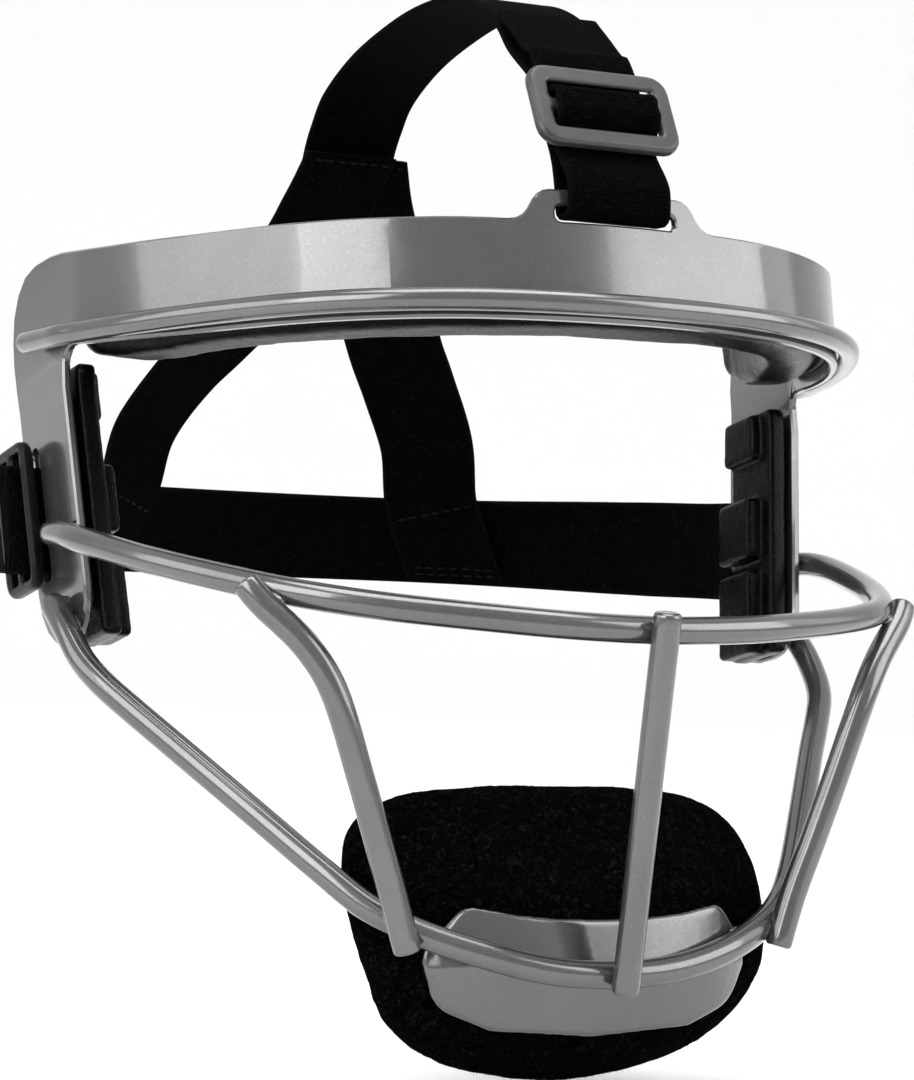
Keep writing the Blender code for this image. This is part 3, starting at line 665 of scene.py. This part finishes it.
def harness_stitching(crown, yokes, loop):
    height = WEB / 2 + 0.0001
    paths = []
    w = 0.0108
    for a, b in (((0.0015, -w), (0.0015, w)), ((0.0015, w), (0.0150, w)), ((0.0150, w), (0.0150, -w)),
                 ((0.0150, -w), (0.0015, -w)), ((0.0015, -w), (0.0150, w)), ((0.0150, -w), (0.0015, w))):
        for face in (height, -height):
            paths.append([on_ribbon(crown, a[0] + (b[0] - a[0]) * t / 12, a[1] + (b[1] - a[1]) * t / 12, face)
                          for t in range(13)])
    for word, stations in yokes.items():
        for along in (0.0022, 0.0042, 0.0210):
            for face in (height, -height):
                paths.append([on_ribbon(stations, along, w * t / 6, face) for t in range(-6, 7)])
        length = sum((b[0] - a[0]).length for a, b in zip(stations, stations[1:]))
        for face in (height, -height):
            paths.append([on_ribbon(stations, length - 0.0020, w * t / 6, face) for t in range(-6, 7)])
    middle = sum((b[0] - a[0]).length for a, b in zip(loop, loop[1:])) / 2
    obj = place_object("harness_stitching", stitches("harness_stitching", paths), THREAD, "harness")
    return obj, middle


# ---------------------------------------------------------------- steel
PLATE_FRONT = -0.1051
PLATE_ARCS = ((0.1395, 12.0), (0.0677, 45.0), (0.1637, 33.5))
LEG_WIDTH_FLAT = 0.0972
BROW_WIRE = 0.0025
BROW_WIRE_RISE = (0.0562, 0.0096, 0.0021)
BAND_SPAN = 0.0930
GAP = 0.0003


def plan(s):
    """Point and outward normal of the plate's outer face in plan, at the arc length s from the middle."""
    left = abs(s)
    place = Vector((0.0, PLATE_FRONT))
    heading = 0.0
    for radius, degrees in PLATE_ARCS:
        turn = min(left / radius, math.radians(degrees))
        centre = place + Vector((-math.sin(heading), math.cos(heading))) * radius
        heading += turn
        place = centre + Vector((math.sin(heading), -math.cos(heading))) * radius
        left -= turn * radius
    place = place + Vector((math.cos(heading), math.sin(heading))) * left
    return place, Vector((math.sin(heading), -math.cos(heading)))


def leg_x(z):
    return LEG_WIDTH_FLAT - (0.0600 - z) * math.tan(LEG_TILT)


def beside_plate(s, z, off):
    """A place in front of the plate's outer face on the right half, in the upright frame."""
    place, outward = plan(s)
    flat = ease(s, 0.134, 0.143) * ease(z, 0.074, 0.056)
    place = place.lerp(Vector((leg_x(z), place.y)), flat)
    outward = outward.lerp(Vector((1.0, 0.0)), flat).normalized()
    return Vector((*(place + outward * off), z))


def both_sides(half):
    left = [Vector((-p[0], p[1], p[2])) for p in reversed(half[1:])]
    return left + [Vector(p) for p in half]


def brow_wire_route():
    half = []
    for index in range(27):
        s = 0.1605 * index / 26
        q = (plan(s)[0].y + 0.1050) / BAND_SPAN
        rise = BROW_WIRE_RISE[0] + BROW_WIRE_RISE[1] * q + BROW_WIRE_RISE[2] * q * q
        half.append(beside_plate(s, rise, BROW_WIRE + GAP))
    return both_sides(half)


def cheek_wire_route():
    half = [(0.0, -0.1050, -0.0130), (0.0180, -0.1042, -0.0124), (0.0341, -0.1006, -0.0107)]
    half += [(0.0554, -0.0913, -0.0071), (0.0700, -0.0820, -0.0032), (0.0803, -0.0696, 0.0018)]
    half += [(0.0896, -0.0506, 0.0090), (0.0968, -0.0269, 0.0180), (0.0980, -0.0150, 0.0221)]
    half.append((leg_x(0.0238) + WIRE + GAP, -0.0073, 0.0238))
    return both_sides(half)


def jaw_wire_route():
    half = [(0.0, -0.0788, -0.0825), (0.0149, -0.0782, -0.0814), (0.0293, -0.0757, -0.0775)]
    half += [(0.0419, -0.0700, -0.0720), (0.0508, -0.0646, -0.0660), (0.0582, -0.0586, -0.0576)]
    half += [(0.0691, -0.0472, -0.0434), (0.0804, -0.0350, -0.0286), (0.0879, -0.0272, -0.0189)]
    half += [(0.0925, -0.0219, -0.0124), (0.0950, -0.0166, -0.0064), (0.0961, -0.0103, 0.0013)]
    half.append((leg_x(0.0083) + WIRE + GAP, -0.0029, 0.0083))
    return both_sides(half)


def steel():
    refined("brow_plate", "brow_band", STEEL, "frame", rounding=0.00022)
    guard = place_object("chin_guard", soft_copy("chin_plate", 0.00034, 24), STEEL, "frame")
    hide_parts("chin_plate")
    routes = {"brow_wire": brow_wire_route(), "cheek_wire": cheek_wire_route(), "jaw_wire": jaw_wire_route()}
    routes["centre_vertical_wire"] = [(0.0, -0.1110, -0.0112), (0.0, -0.0970, -0.0485), (0.0, -0.0830, -0.0860)]
    side = [(0.0803, -0.0782, -0.0010), (0.0775, -0.0797, -0.0052), (0.0698, -0.0826, -0.0140)]
    side += [(0.0640, -0.0833, -0.0240), (0.0576, -0.0800, -0.0409), (0.0530, -0.0770, -0.0534)]
    side += [(0.0486, -0.0740, -0.0652), (0.0452, -0.0720, -0.0758)]
    for word, sign in (("right", 1), ("left", -1)):
        routes[word + "_vertical_wire"] = [(sign * x, y, z) for x, y, z in side]
    for node, route in routes.items():
        points = [STANCE @ Vector(point) for point in route]
        radius = BROW_WIRE if node == "brow_wire" else WIRE
        obj = place_object(node + "_coated", tube(node, points, radius), STEEL, "frame")
        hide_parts(node)


def weld(bm, centre, along, size, seed):
    """A small run of weld metal under the paint: a lumpy bead lying along the joint."""
    start = len(bm.verts)
    made = bmesh.ops.create_icosphere(bm, subdivisions=3, radius=1.0)
    turn = along.to_track_quat("Z", "Y").to_matrix()
    for vertex in made["verts"]:
        ripple = 1.0 + 0.10 * noise.noise(vertex.co * 2.2 + Vector((seed, seed * 0.7, 0.0)))
        ripple += 0.05 * math.cos(vertex.co.z * 9.0 + seed)
        vertex.co = centre + turn @ Vector((vertex.co.x * size[0], vertex.co.y * size[1], vertex.co.z * size[2])) * ripple
    return start


def nearest_pair(first, second):
    """The two CAD nodes' meshes and a BVH tree of the second, for finding their closest places."""
    from mathutils.bvhtree import BVHTree
    meshes = [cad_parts[name].data for name in (first, second)]
    tree = BVHTree.FromPolygons([v.co.copy() for v in meshes[1].vertices], [tuple(p.vertices) for p in meshes[1].polygons])
    return meshes, tree


def welds():
    bm = bmesh.new()
    pairs = (("cheek_wire", "brow_plate"), ("jaw_wire", "brow_plate"), ("left_vertical_wire", "cheek_wire"))
    pairs += (("left_vertical_wire", "jaw_wire"), ("right_vertical_wire", "cheek_wire"), ("right_vertical_wire", "jaw_wire"))
    pairs += (("centre_vertical_wire", "cheek_wire"), ("centre_vertical_wire", "jaw_wire"), ("jaw_wire", "chin_plate"))
    pairs += (("brow_wire", "brow_plate"),)
    seed = 1.0
    for first, second in pairs:
        meshes, tree = nearest_pair(first, second)
        close = []
        for vertex in meshes[0].vertices:
            place, _, _, distance = tree.find_nearest(vertex.co)
            if place is not None and distance < 0.00075:
                close.append((vertex.co + place) / 2)
        spread = 0.0240 if first == "brow_wire" else 0.0200
        groups = []
        for place in close:
            for group in groups:
                if (group[0] - place).length < spread:
                    group.append(place)
                    break
            else:
                groups.append([place])
        for group in groups:
            mean = sum(group, Vector()) / len(group)
            centre = min(group, key=lambda p: (p - mean).length)
            far = max(group, key=lambda p: (p - centre).length) - centre
            if first == "brow_wire":
                if far.length < 0.0060 or centre.y < -0.0050:
                    continue
                size = (0.0007, 0.0007, 0.0050)
            else:
                size = (0.0015, 0.0015, 0.0034)
            along = far.normalized() if far.length > 0.0005 else Vector((1.0, 0.0, 0.0))
            weld(bm, centre, along, size, seed)
            seed += 1.7
    mesh = finish_mesh("frame_welds", bm)
    return place_object("frame_welds", mesh, STEEL, "frame")


# ---------------------------------------------------------------- pads
def soft_copy(node, voxel, smooth, swell=0.0, reshape=None):
    """A CAD solid remeshed evenly and relaxed, so that its edges round over."""
    bm = solid_of(node)
    if reshape:
        reshape(bm)
    steps = [("REMESH", {"mode": "VOXEL", "voxel_size": voxel, "use_smooth_shade": True})]
    steps.append(("SMOOTH", {"factor": 0.5, "iterations": smooth}))
    mesh = applied(node, bm, *steps)
    for vertex in mesh.vertices:
        if swell:
            vertex.co += vertex.normal * swell
    return mesh


def roughen(mesh, places, seed=0.0):
    """Uneven surface: each (scale, depth) adds a layer of relief."""
    normals = [vertex.normal.copy() for vertex in mesh.vertices]
    for vertex, normal in zip(mesh.vertices, normals):
        shift = 0.0
        for scale, depth in places:
            shift += depth * noise.noise(vertex.co * scale + Vector((seed, 0.0, 0.0)))
        vertex.co += normal * shift
    mesh.update()


def pads():
    brow = soft_copy("brow_pad", 0.0009, 16)
    for vertex in brow.vertices:
        vertex.co.z += BROW_PAD_SLANT * vertex.co.x
    roughen(brow, ((60.0, 0.00025), (260.0, 0.00010)))
    obj = place_object("brow_cushion", brow, RUBBER, "frame")
    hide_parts("brow_pad")
    for word in ("right", "left"):
        side = soft_copy(word + "_side_pad", 0.0004, 16)
        roughen(side, ((90.0, 0.00012), (500.0, 0.00004)), 3.0)
        obj = place_object(word + "_side_cushion", side, RUBBER, "frame")
        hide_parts(word + "_side_pad")
    chin = soft_copy("chin_pad", 0.0008, 30)
    roughen(chin, ((70.0, 0.0003), (420.0, 0.00012), (1100.0, 0.00010)), 7.0)
    obj = place_object("chin_cushion", chin, FELT, "frame")
    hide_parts("chin_pad")
    return chin


def nap(mesh, count):
    """Short curled fibres that stand off the felt."""
    bm = bmesh.new()
    total = len(mesh.polygons)
    for number in range(count):
        face = mesh.polygons[int((number * 0.6180339887 % 1.0) * total)]
        seed = Vector((number * 0.37, number * 0.11, 5.0))
        way = noise.noise_vector(seed)
        normal = face.normal
        lean = (way - normal * way.dot(normal)).normalized()
        root = face.center + lean * 0.0002
        side = normal.cross(lean).normalized() * 0.000028
        length = 0.0004 + 0.0005 * abs(noise.noise(seed * 1.7))
        tip = root + normal * length + lean * length * 0.7
        middle = root + normal * length * 0.65 + lean * length * 0.15
        a, b = bm.verts.new(root - side), bm.verts.new(root + side)
        c, d = bm.verts.new(middle + side), bm.verts.new(middle - side)
        e = bm.verts.new(tip)
        bm.faces.new((a, b, c, d))
        bm.faces.new((d, c, e))
    return place_object("chin_cushion_nap", finish_mesh("chin_cushion_nap", bm), FELT, "frame")


def broad_face(bm):
    """Widens the front of the top tri-glide's bars towards its window; the strap runs behind them."""
    up = Vector((0.0, math.cos(GLIDE_TILT), math.sin(GLIDE_TILT)))
    out = Vector((0.0, -up.z, up.y))
    ups = [vertex.co.dot(up) for vertex in bm.verts]
    outs = [vertex.co.dot(out) for vertex in bm.verts]
    across = [vertex.co.x for vertex in bm.verts]
    centre_up, centre_out = (min(ups) + max(ups)) / 2, (min(outs) + max(outs)) / 2
    centre_x = (min(across) + max(across)) / 2
    for vertex, high, depth in zip(bm.verts, ups, outs):
        front = depth > centre_out
        rise, aside = high - centre_up, vertex.co.x - centre_x
        if abs(rise) > WINDOW_RISE[1] or abs(aside) > WINDOW_SIDE[1]:
            continue
        if abs(rise) > WINDOW_RISE[0]:
            vertex.co -= up * math.copysign(BROADER_BAR[0] if front else BROADER_BAR[1], rise)
        if abs(aside) > WINDOW_SIDE[0]:
            vertex.co.x -= math.copysign(BROADER_END[0] if front else BROADER_END[1], aside)


def tri_glides():
    # The side tri-glides take the darker copy of the plastic: painted shade.
    looks = {"top": GREY_PLASTIC, "left": DARKER_PAINTED_SHADE_PLASTIC, "right": DARKER_PAINTED_SHADE_PLASTIC}
    for word, look in looks.items():
        shape = soft_copy(word + "_buckle", 0.00024, 12, reshape=broad_face if word == "top" else None)
        glide = place_object(word + "_tri_glide", shape, look, word + "_buckle")
        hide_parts(word + "_buckle")


# ---------------------------------------------------------------- build
steel()
welds()
crown_stations, adjuster_stations = top_straps()
loop_stations = back_straps()
yokes = yoke_straps()
harness_stitching(crown_stations, yokes, loop_stations)
chin_mesh = pads()
nap(chin_mesh, 9000)
tri_glides()
for node in ("chin_tape", "brow_tape", "left_side_tape", "right_side_tape"):
    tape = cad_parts[node]
    for slot in tape.material_slots:
        slot.material = HOOK


# ---------------------------------------------------------------- studio
def floor():
    """A pale floor that curves up into a round wall."""
    bm = bmesh.new()
    sides = 96
    rings = []
    profile = [(0.0, 0.0), (0.8, 0.0), (1.8, 0.0)]
    for step in range(1, 11):
        a = math.radians(9.0 * step)
        profile.append((1.8 + 1.2 * math.sin(a), 1.2 * (1 - math.cos(a))))
    profile.append((3.0, 2.2))
    for radius, height in profile[1:]:
        ring = []
        for index in range(sides):
            a = 2 * math.pi * index / sides
            ring.append(bm.verts.new((radius * math.cos(a), radius * math.sin(a), FLOOR_Z + height)))
        rings.append(ring)
    bm.faces.new(rings[0])
    for ring, after in zip(rings, rings[1:]):
        for index in range(sides):
            following = (index + 1) % sides
            bm.faces.new((ring[index], ring[following], after[following], after[index]))
    bmesh.ops.recalc_face_normals(bm, faces=bm.faces)
    obj = place_object("studio_floor", finish_mesh("studio_floor", bm), studio())


def softbox(name, azimuth, elevation, distance, width, height, power):
    """An area light that faces the mask; azimuth 0 is in front, positive to the mask's left-hand side, +X."""
    light = bpy.data.lights.new(name, "AREA")
    light.shape = "RECTANGLE"
    light.size = width
    light.size_y = height
    light.energy = power
    obj = bpy.data.objects.new(name, light)
    az, el = math.radians(azimuth), math.radians(elevation)
    way = Vector((math.sin(az) * math.cos(el), -math.cos(az) * math.cos(el), math.sin(el)))
    target = Vector((0.0, 0.02, -0.04))
    obj.location = target + way * distance
    obj.rotation_euler = (-way).to_track_quat("-Z", "Y").to_euler()
    bpy.context.scene.collection.objects.link(obj)
    return obj


def studio_light():
    world = bpy.data.worlds.new("studio")
    world.use_nodes = True
    background = world.node_tree.nodes["Background"]
    background.inputs["Color"].default_value = (1.0, 1.0, 1.0, 1.0)
    background.inputs["Strength"].default_value = 1.0
    bpy.context.scene.world = world
    softbox("softbox_right", 49.6, 26.0, 1.3, 0.96, 0.9, 12.4)
    softbox("softbox_far_right", 82.0, 24.0, 1.3, 0.36, 0.8, 1.2)
    softbox("softbox_left", -62.0, 26.0, 1.3, 0.72, 0.9, 12.5)
    softbox("softbox_far_left", -99.0, 22.0, 1.3, 0.98, 0.8, 8.5)
    softbox("softbox_top", 0.0, 82.0, 1.2, 1.0, 0.7, 14.0)


def camera():
    data = bpy.data.cameras.new("camera")
    data.sensor_fit = "HORIZONTAL"
    data.sensor_width = 36.0
    data.lens = 127.297
    data.clip_start = 0.01
    obj = bpy.data.objects.new("camera", data)
    right = Vector((0.89972, -0.43472, 0.03911))
    up = Vector((-0.03908, 0.00901, 0.99920))
    back = Vector((-0.43472, -0.90052, -0.00888))
    turn = Matrix((right, up, back)).transposed()
    obj.matrix_world = Matrix.Translation((-0.33154, -0.62206, -0.05662)) @ turn.to_4x4()
    bpy.context.scene.collection.objects.link(obj)
    bpy.context.scene.camera = obj


floor()
studio_light()
camera()
bpy.context.scene.view_settings.view_transform = "Standard"
